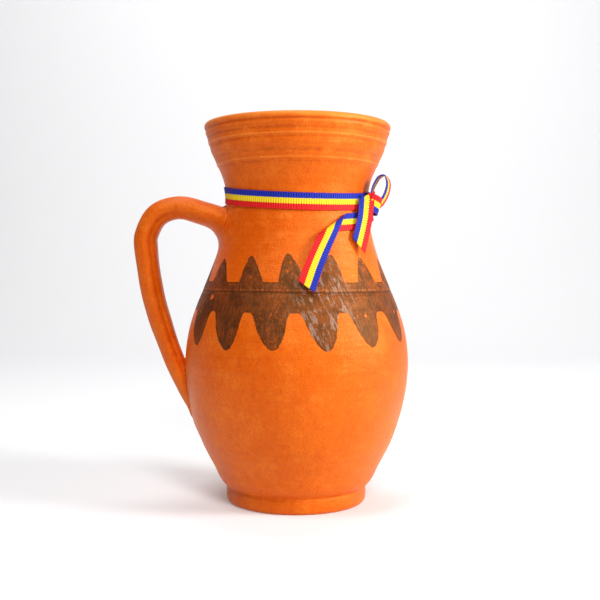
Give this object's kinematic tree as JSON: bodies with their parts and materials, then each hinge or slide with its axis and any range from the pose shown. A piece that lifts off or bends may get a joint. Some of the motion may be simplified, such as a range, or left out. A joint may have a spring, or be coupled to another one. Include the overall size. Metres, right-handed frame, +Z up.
{
  "type": "terracotta pitcher",
  "caption": "Unglazed terracotta pitcher with a flared collar, a pulled strap handle, a dark slip band and a striped ribbon tied round its neck.",
  "frame": {"origin": "centre of the foot's flat underside, on the axis of the thrown body", "axes": "+Z up along the axis of the body, -X towards the handle, -Y towards the front where the ribbon's ends hang"},
  "size_m": [0.1721, 0.1394, 0.235],
  "materials": {
    "terracotta": "unglazed fired earthenware with a matt brown slip band",
    "ribbon": "woven grosgrain in blue, yellow and red stripes"
  },
  "bodies": {
    "pitcher": {"pitcher_body": "terracotta", "handle": "terracotta"},
    "ribbon": {"ribbon_band": "ribbon", "ribbon_knot": "ribbon", "ribbon_long_root": "ribbon"},
    "long_tail": {"ribbon_long_tail": "ribbon"},
    "short_tail": {"ribbon_short_tail": "ribbon"},
    "loop": {"ribbon_loop": "ribbon"}
  },
  "joints": [
    {"name": "ribbon_turn", "type": "hinge", "parent": "pitcher", "child": "ribbon", "pos_m": [0, 0, 0.1891], "axis": [0, 0, 1], "range_deg": [-4, 150]},
    {"name": "long_tail_lift", "type": "hinge", "parent": "ribbon", "child": "long_tail", "pos_m": [0.0203, -0.044, 0.1736], "axis": [-0.9063, -0.4226, 0], "range_deg": [0, 75]},
    {"name": "short_tail_lift", "type": "hinge", "parent": "ribbon", "child": "short_tail", "pos_m": [0.0432, -0.0251, 0.1885], "axis": [-0.8192, -0.5736, 0], "range_deg": [0, 75]},
    {"name": "loop_bend", "type": "hinge", "parent": "ribbon", "child": "loop", "pos_m": [0.05, -0.0155, 0.188], "axis": [0.2588, 0.9659, 0], "range_deg": [-5, 60], "stiffness_Nm_per_rad": 0.0005}
  ]
}
